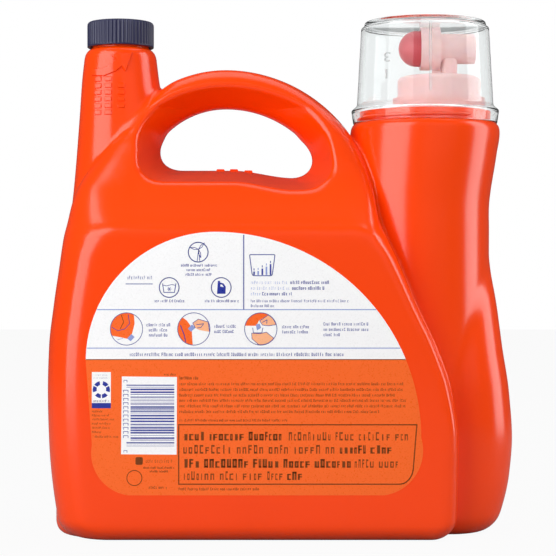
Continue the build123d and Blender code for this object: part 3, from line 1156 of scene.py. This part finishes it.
@dataclass
class Label:
    """One printed film label on a flat panel of the bottle."""

    node: str
    side: float
    film_lift: float = 0.06
    field_edge: float = 104.5

    def outline(self, nodes: dict[str, bpy.types.Object]) -> list[Point]:
        """Reads the film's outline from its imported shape, in order round it."""
        places = {(round(v.co.x / MM, 2), round(v.co.z / MM, 2)) for v in nodes[self.node].data.vertices}
        middle = np.mean(list(places), axis=0)
        return sorted(places, key=lambda p: math.atan2(p[1] - middle[1], p[0] - middle[0]))

    def build(self, nodes: dict[str, bpy.types.Object]) -> bpy.types.Object:
        """Makes the label with its print and returns it.

        Args:
            nodes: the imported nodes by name.
        """
        low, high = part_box(self.node)
        panel = min(abs(low.y), abs(high.y)) / MM
        sheet = PrintSheet(self.side, panel + self.film_lift - 0.02)
        edge = self.outline(nodes)
        sheet.shape(cut(edge, self.field_edge, True), Ink.WHITE)
        sheet.shape(cut(edge, self.field_edge, False), Ink.ORANGE)
        if self.side < 0:
            self.upper_panel(sheet, edge)
            self.lower_panel(sheet)
        else:
            self.plain_front(sheet)
        piece = sheet.build(f"{self.node}_print")
        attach(piece, "bottle")
        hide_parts(self.node)
        log.info("%s: %d faces", piece.name, len(piece.data.polygons))
        return piece

    def plain_front(self, sheet: PrintSheet) -> None:
        """Prints the plain fields of the hidden front label."""
        sheet.shape([(-97, 128), (60, 128), (74, 92), (-104, 92)], Ink.BLUE, 2)
        sheet.bar(-80, 50, 110, 3.2, Ink.WHITE, 2)
        sheet.bar(-80, 42, 84, 3.2, Ink.WHITE, 2)

    def upper_panel(self, sheet: PrintSheet, edge: Sequence[Point]) -> None:
        """Prints the rules, pictograms and lines of text on the white field."""
        for height, width in ((132.9, 0.55), (111.0, 0.55), (self.field_edge, 0.5)):
            left, right = span(edge, height)
            ink = Ink.PALE if width > 0.5 else Ink.BROWN
            sheet.bar(left + 0.2, height - width / 2, right - left - 0.4, width, ink)
        sheet.bar(-22.5, 132.9, 0.6, 42.6, Ink.BLUE)
        self.wind_mark(sheet, -48.1, 165.6)
        self.tub_mark(sheet, -64.6, 145.5)
        self.jug_mark(sheet, -35.0, 145.5)
        for x, z, end in (
            (-58.5, 157.4, -37.0),
            (-55.4, 154.8, -40.6),
            (-55.9, 152.2, -40.1),
            (-73.5, 137.1, -55.4),
            (-45.1, 137.1, -24.6),
        ):
            sheet.words(x, z, end, 1.5, Ink.BLUE)
        sheet.words(-89.1, 150.2, -74.2, 1.9, Ink.BLUE, 0.2)
        sheet.bar(-89.4, 147.3, 15.4, 0.45, Ink.BLUE)
        self.measure_mark(sheet)
        for z, end, bold in ((147.5, 3.0, 0.0), (144.2, 4.0, 0.0), (141.0, -12.0, 0.0)):
            sheet.words(-18.8, z, end, 1.8, Ink.PALE, bold)
        for x, z, end in ((3.5, 147.5, 26.3), (4.5, 144.2, 24.2), (-12.5, 141.0, 5.7)):
            sheet.words(x, z, end, 1.9, Ink.BLUE, 0.6)
        sheet.words(-18.8, 137.1, 37.3, 1.5, Ink.BLUE, 0.3)
        sheet.words(-18.8, 134.3, -4.8, 1.5, Ink.BLUE, 0.3)
        for x, z, end in (
            (-78.2, 123.4, -64.1),
            (-76.9, 120.5, -65.3),
            (-76.8, 117.6, -65.6),
            (-39.7, 122.6, -26.9),
            (-39.7, 119.6, -26.9),
            (-1.1, 122.3, 15.6),
            (-1.1, 119.4, 15.6),
            (22.5, 123.9, 48.6),
            (22.5, 120.8, 48.6),
            (22.5, 117.8, 33.5),
        ):
            sheet.words(x, z, end, 1.7, Ink.BLUE, 0.35)
        sheet.words(-88.0, 106.5, 34.4, 1.9, Ink.BLUE, 0.35)
        self.tip_mark(sheet, -88.9, 121.9)
        self.twist_mark(sheet, -50.6, 121.9)
        self.press_mark(sheet, -12.5, 121.9)

    @staticmethod
    def wind_mark(sheet: PrintSheet, x: float, z: float) -> None:
        """Prints a ring with three blades on a post."""
        sheet.ring(x, z, 5.6, 0.55, Ink.BLUE)
        hub = (x + 0.2, z + 1.6)
        for angle in (48, 168, 285):
            tip = arc(*hub, 5.0, angle, angle, 1)[0]
            sides = arc(*hub, 2.4, angle - 14, angle + 14, 1)
            sheet.line([hub, sides[0], tip, sides[1]], 0.35, Ink.BLUE, closed=True)
        sheet.line([(x - 0.6, z - 5.2), hub, (x + 0.9, z - 5.2)], 0.35, Ink.BLUE)

    @staticmethod
    def tub_mark(sheet: PrintSheet, x: float, z: float) -> None:
        """Prints a ring with a wash tub."""
        sheet.ring(x, z, 5.6, 0.55, Ink.BLUE)
        tub = around(x, z, (-3.8, 2.2), (-3.0, -2.8), (3.0, -2.8), (3.8, 2.2))
        sheet.line(tub, 0.45, Ink.BLUE)
        sheet.line(around(x, z, (-3.6, 1.4), (-1.6, 0.9), (1.6, 1.7), (3.6, 1.2)), 0.35, Ink.BLUE)
        for angle in (0, 60, 120):
            ends = arc(x, z - 0.9, 1.2, angle, angle + 180, 1)
            sheet.line(ends, 0.3, Ink.BLUE)

    @staticmethod
    def jug_mark(sheet: PrintSheet, x: float, z: float) -> None:
        """Prints a ring with a solid jug."""
        sheet.ring(x, z, 5.6, 0.55, Ink.BLUE)
        body = ((-2.4, -3.6), (2.4, -3.6), (2.6, 0.4), (1.2, 2.4))
        jug = body + ((-0.6, 2.8), (-0.7, 3.8), (-1.9, 3.8), (-2.1, 1.0))
        sheet.shape(around(x, z, *jug), Ink.BLUE, 2)
        sheet.shape(around(x, z, (-0.6, 0.6), (1.4, 0.2), (0.6, 1.6), (-0.4, 1.8)), Ink.WHITE, 3)

    @staticmethod
    def measure_mark(sheet: PrintSheet) -> None:
        """Prints a cup's outline with five rising bars."""
        cup = rounded([(-18.9, 164.2, 0.8), (-17.3, 152.2, 1.2), (-6.0, 152.2, 1.2), (-4.4, 164.2, 0.8)], 3)
        sheet.line(cup, 0.5, Ink.BLUE, closed=True)
        for k, top in enumerate((154.6, 154.9, 156.3, 157.4, 158.8)):
            strong = k % 2 == 0
            x = -16.8 + 2.35 * k
            sheet.bar(x, 152.6, 0.95, top - 152.6, Ink.BLUE if strong else Ink.PALE)
            sheet.bar(x + 0.2, top + 0.6, 0.5, 1.2, Ink.BLUE if strong else Ink.PALE)

    @staticmethod
    def tip_mark(sheet: PrintSheet, x: float, z: float) -> None:
        """Prints a ring with a jug tipped on its side."""
        body = arc(x, z, 9.0, 62, 205, 16) + around(x, z, (-4, -4.6), (0.6, -5.6), (3.2, -2.6), (4.6, 3))
        sheet.shape(body, Ink.ORANGE, 2)
        sheet.line(around(x, z, (-3, 8), (-1.6, 4), (-3.6, 0)), 0.35, Ink.BROWN)
        sheet.line(around(x, z, (-8.4, 1), (-5, -1), (-1, 0), (1.8, 3), (1, 8)), 0.35, Ink.BLUE)
        sheet.shape(around(x, z, (0.4, -5.4), (2.8, -2.8), (4.6, -4.6), (2.4, -7)), Ink.PALE, 3)
        sheet.line(around(x, z, (-5, -6), (-2, -5.4)), 0.3, Ink.PALE)
        sheet.ring(x, z, 9.2, 0.38, Ink.BLUE)

    @staticmethod
    def twist_mark(sheet: PrintSheet, x: float, z: float) -> None:
        """Prints a ring with a hand at a vent cap."""
        body = arc(x, z, 9.0, 134, 266, 16) + around(x, z, (-0.9, -5), (-1.2, 1), (-4, 4.8))
        sheet.shape(body, Ink.ORANGE, 2)
        hand = around(x, z, (9.0, -1.6), (8.2, 4), (2.6, 5.6), (-0.6, 3.4), (0.8, 0.6))
        sheet.shape(hand + [(x + 3.2, z - 0.6)], Ink.PEACH, 2)
        sheet.line(hand, 0.35, Ink.BLUE)
        sheet.line(around(x, z, (1.6, 2.4), (5.6, 3), (4, 0.8), (2, 0.6)), 0.35, Ink.BLUE)
        sheet.shape(around(x, z, (-3.4, 0.2), (-1, 2.6), (0.8, 0.6), (-1.6, -1.6)), Ink.PALE, 3)
        sheet.line(around(x, z, (-7.6, 2), (-5.6, -3), (-4.6, -7.4)), 0.5, Ink.BLUE)
        sheet.ring(x, z, 9.2, 0.38, Ink.BLUE)

    @staticmethod
    def press_mark(sheet: PrintSheet, x: float, z: float) -> None:
        """Prints a ring with a thumb on a tap over a cup held in a hand."""
        body = arc(x, z, 9.0, 62, 168, 14) + around(x, z, (-2.4, 1.8), (-1.2, 4.6))
        sheet.shape(body, Ink.ORANGE, 2)
        upper = arc(x, z, 9.0, 16, 62, 6) + around(x, z, (-0.6, 4.6), (1, 2.2), (4.6, 1.8))
        palm = around(x, z, (3.2, -1.8), (-0.4, -2.6), (-5.2, -2.4), (-5, -5.6))
        lower = arc(x, z, 9.0, 262, 325, 8) + palm
        for hand in (upper, lower):
            sheet.shape(hand, Ink.PEACH, 2)
            sheet.line(hand, 0.32, Ink.BLUE, closed=True)
        sheet.line(around(x, z, (-4.6, 0.6), (-4.2, -2.2), (0.6, -2.2), (1.2, 0.6)), 0.35, Ink.BLUE)
        sheet.shape(around(x, z, (-2.8, 2.6), (-0.6, 3), (0.2, 0.6), (-2.2, -0.8)), Ink.PALE, 3)
        sheet.line(around(x, z, (1, 3.8), (3.6, 5.2), (3.4, 3.2)), 0.35, Ink.BLUE)
        sheet.ring(x, z, 9.2, 0.38, Ink.BLUE)

    def lower_panel(self, sheet: PrintSheet) -> None:
        """Prints the code, the boxed panel and the lines of text on the orange field."""
        self.recycle_mark(sheet)
        self.bar_code(sheet)
        upper = ((74.5, -101.9), (72.2, -98.7), (70.0, -96.0))
        for z, end in upper + ((67.6, -97.6), (65.2, -98.7), (62.7, -102.8)):
            sheet.words(-108.9, z, end, 1.1, Ink.BROWN, 0.2)
        sheet.words(-107.4, 60.1, -93.6, 1.1, Ink.BROWN, 0.2)
        patch = [(-83.8, 44.6, 1), (-79.6, 44.6, 1), (-79.6, 49, 1), (-83.8, 49, 1)]
        sheet.shape(rounded(patch, 3), Ink.BROWN, 2)
        sheet.words(-78.6, 45.8, -62.5, 1.7, Ink.BROWN, 0.0)
        sheet.words(-79.9, 42.4, -61.6, 1.1, Ink.BROWN, 0.4)
        sheet.words(-76.1, 40.3, -65.5, 1.1, Ink.BROWN, 0.4)
        sheet.ring(-84.4, 37.1, 4.3, 0.4, Ink.BROWN)
        sheet.words(-76.8, 31.0, -65.3, 1.5, Ink.BROWN, 0.3)
        sheet.words(-68.0, 95.4, -60.6, 1.2, Ink.BROWN, 0.3)
        sheet.words(-59.4, 93.2, -47.7, 1.6, Ink.BROWN, 0.4)
        for z, end in ((89.9, 69.0), (86.7, 69.0), (83.5, 64.1), (80.5, 71.0), (77.3, 69.6), (74.1, 54.8)):
            sheet.words(-59.4, z, end, 1.5, Ink.BROWN, 0.25)
        sheet.words(-59.6, 69.3, 2.7, 1.3, Ink.BROWN, 0.3)
        box = [(-59.2, 33.6, 0), (69.6, 33.6, 7), (74.0, 39.0, 9), (76.3, 67.4, 0), (-59.2, 67.4, 0)]
        sheet.line(rounded(box, 6), 0.65, Ink.BROWN, closed=True)
        for z, split, end, first in (
            (58.5, 1.0, 73.2, 0.9),
            (51.0, 30.0, 64.3, 0.2),
            (43.0, 38.5, 66.2, 0.9),
            (36.0, 0.0, 11.9, 0.2),
        ):
            sheet.words(-58.6, z, split, 4.9, Ink.BROWN, first)
            sheet.words(split + 0.5, z, end, 4.7, Ink.BROWN, 1.1 - first)
        sheet.words(-59.8, 30.1, -13.1, 1.5, Ink.BROWN, 0.3)

    @staticmethod
    def recycle_mark(sheet: PrintSheet) -> None:
        """Prints a small panel with a loop of three bent arrows."""
        sheet.bar(-108.6, 76.8, 10.8, 20.6, Ink.WHITE)
        sheet.bar(-108.6, 76.8, 10.8, 3.0, Ink.BLUE, 3)
        sheet.words(-108.3, 80.2, -98.6, 1.4, Ink.BLUE, 0.3)
        sheet.words(-106.8, 95.2, -99.4, 1.0, Ink.BLUE, 0.0)
        sheet.words(-108.0, 93.6, -98.4, 1.0, Ink.BLUE, 0.0)
        sheet.words(-107.6, 77.4, -98.8, 1.6, Ink.WHITE, 0.4)
        for turn in (90, 210, 330):
            for lean in (-34, 34):
                wedge = arc(-103.2, 87.4, 4.9, turn + lean - 22, turn + lean + 22, 3)
                inner = arc(-103.2, 87.4, 2.7, turn + lean + 20, turn + lean - 20, 3)
                sheet.shape(wedge + inner, Ink.BLUE, 3)

    @staticmethod
    def bar_code(sheet: PrintSheet) -> None:
        """Prints a white panel with level bars of random thickness and marks beside them."""
        sheet.shape([(-92.0, 50.6), (-60.4, 50.4), (-60.2, 94.6), (-91.5, 94.9)], Ink.WHITE, 2)
        z = 55.2
        while z < 90.2:
            thick = sheet.chance.choice((0.25, 0.35, 0.6, 0.9))
            long = z < 57.5 or z > 88.2
            sheet.bar(-88.9 if long else -86.6, z, 27.2 if long else 24.9, thick, Ink.BLUE, 3)
            z += thick + sheet.chance.choice((0.3, 0.5, 0.7, 0.95))
        z = 60.0
        while z < 86.0:
            sheet.line([(-90.6, z), (-90.6, z + 1.2), (-88.0, z + 1.2), (-88.0, z)], 0.34, Ink.BLUE)
            z += 2.35
        for z in (51.6, 91.6):
            sheet.line([(-90.4, z), (-90.4, z + 1.1), (-88.6, z + 1.1), (-88.6, z)], 0.3, Ink.BLUE)


def cut(outline: Sequence[Point], level: float, above: bool) -> list[Point]:
    """Keeps the part of an outline that lies above or below a level."""
    sign = 1 if above else -1
    kept: list[Point] = []
    for (x0, z0), (x1, z1) in zip(outline, [*outline[1:], outline[0]]):
        if sign * (z0 - level) >= 0:
            kept.append((x0, z0))
        if (z0 - level) * (z1 - level) < 0:
            kept.append((x0 + (x1 - x0) * (level - z0) / (z1 - z0), level))
    return kept


def span(outline: Sequence[Point], level: float) -> tuple[float, float]:
    """Leftmost and rightmost places of an outline at a level."""
    edge = [x for x, z in cut(outline, level, True) if abs(z - level) < 1e-6]
    return min(edge), max(edge)


# --------------------------------------------------------------------------- stage


@dataclass
class Studio:
    """A pale floor, a white surround, soft lamps, and the camera."""

    distance: float = 1.04
    view_width: float = 0.3364
    eye: tuple[float, float] = (-0.0027, 0.1509)
    sensor: float = 36.0
    fill: float = 0.22
    gloss_fill: float = 0.08
    glow: float = 0.95
    floor_grey: float = 0.3
    floor_half: float = 4000.0

    def camera(self) -> None:
        """Puts a level camera in front of the back label."""
        data = bpy.data.cameras.new("camera")
        data.sensor_width = self.sensor
        data.lens = self.sensor * self.distance / self.view_width
        camera = bpy.data.objects.new("camera", data)
        camera.location = (self.eye[0], -self.distance, self.eye[1])
        camera.rotation_euler = (math.radians(90), 0, 0)
        bpy.context.scene.collection.objects.link(camera)
        bpy.context.scene.camera = camera

    def lamp(
        self, name: str, place: tuple[float, float, float], size: Point, power: float, gloss: bool = True
    ) -> None:
        """Adds a soft rectangular lamp that faces the jug.

        Args:
            name: the lamp's name.
            place: where it stands, in metres.
            size: its width and height, in metres.
            power: its power, in watts.
            gloss: whether glossy surfaces show it.
        """
        data = bpy.data.lights.new(name, "AREA")
        data.shape = "RECTANGLE"
        data.size, data.size_y = size
        data.energy = power
        lamp = bpy.data.objects.new(name, data)
        lamp.location = place
        lamp.visible_glossy = gloss
        aim = Vector((0, 0, 0.16)) - Vector(place)
        lamp.rotation_euler = aim.to_track_quat("-Z", "Y").to_euler()
        bpy.context.scene.collection.objects.link(lamp)

    @staticmethod
    def seen_directly(tree: bpy.types.NodeTree) -> Socket:
        """Socket that is 1 for rays from the camera, or on through clear plastic, and 0 for the rest."""
        path = add_node(tree, "LightPath")
        rays = {0: path.outputs["Is Camera Ray"], 1: path.outputs["Is Transmission Ray"]}
        return add_node(tree, "Math", rays, operation="MAXIMUM").outputs["Value"]

    def surround(self) -> None:
        """Lights the jug from all round, with less light for gloss, and shows plain white behind it."""
        world = bpy.data.worlds.new("surround")
        world.use_nodes = True
        bpy.context.scene.world = world
        tree = world.node_tree
        back = tree.nodes["Background"]
        glossy = add_node(tree, "LightPath").outputs["Is Glossy Ray"]
        fill = add_node(tree, "MapRange", {"Value": glossy, "To Min": self.fill, "To Max": self.gloss_fill})
        levels = {0: self.seen_directly(tree), 1: fill.outputs["Result"]}
        seen = add_node(tree, "Math", levels, operation="MAXIMUM")
        back.inputs["Color"].default_value = (1, 1, 1, 1)
        tree.links.new(seen.outputs["Value"], back.inputs["Strength"])

    def floor(self) -> None:
        """Lays the pale floor under the jug."""
        made = bpy.data.materials.new("studio_floor")
        made.use_nodes = True
        tree = made.node_tree
        shader = tree.nodes["Principled BSDF"]
        shader.inputs["Base Color"].default_value = (self.floor_grey, self.floor_grey, self.floor_grey, 1)
        shader.inputs["Roughness"].default_value = 0.9
        share = add_node(tree, "Math", {0: self.seen_directly(tree), 1: self.glow}, operation="MULTIPLY")
        glow = add_node(tree, "Emission", {"Color": (1, 1, 1, 1), "Strength": 1.0})
        parts = {0: share.outputs["Value"], 1: shader.outputs["BSDF"], 2: glow.outputs["Emission"]}
        mix = add_node(tree, "MixShader", parts)
        tree.links.new(mix.outputs["Shader"], tree.nodes["Material Output"].inputs["Surface"])
        half = self.floor_half
        corners = [(-half, -half, 0), (half, -half, 0), (half, half, 0), (-half, half, 0)]
        add_mesh("studio_floor", corners, [(0, 1, 2, 3)], [made], smooth=False)

    def build(self) -> None:
        """Sets up camera, floor, surround and lamps."""
        self.camera()
        self.surround()
        self.floor()
        self.lamp("left_softbox", (-0.84, -0.8, 0.55), (1.05, 1.6), 17)
        self.lamp("right_strip", (1.15, 0.0, 0.5), (0.6, 1.4), 9)
        self.lamp("overhead", (0.0, 0.3, 2.2), (2.2, 1.3), 12)
        self.lamp("front_fill", (0.5, -1.25, 0.75), (1.2, 1.0), 6.0, gloss=False)
        bpy.context.scene.view_settings.view_transform = "Standard"


def main() -> None:
    """Builds the jug round the CAD frame and reports each piece."""
    logging.basicConfig(level=logging.INFO, format="%(name)s: %(message)s")
    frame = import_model()
    Bottle().build()
    VentCap().build()
    DosingCup().build()
    Tap().dress(frame["nodes"])
    Label("back_label", -1.0).build(frame["nodes"])
    Label("front_label", 1.0).build(frame["nodes"])
    Studio().build()


if __name__ == "__main__":
    main()
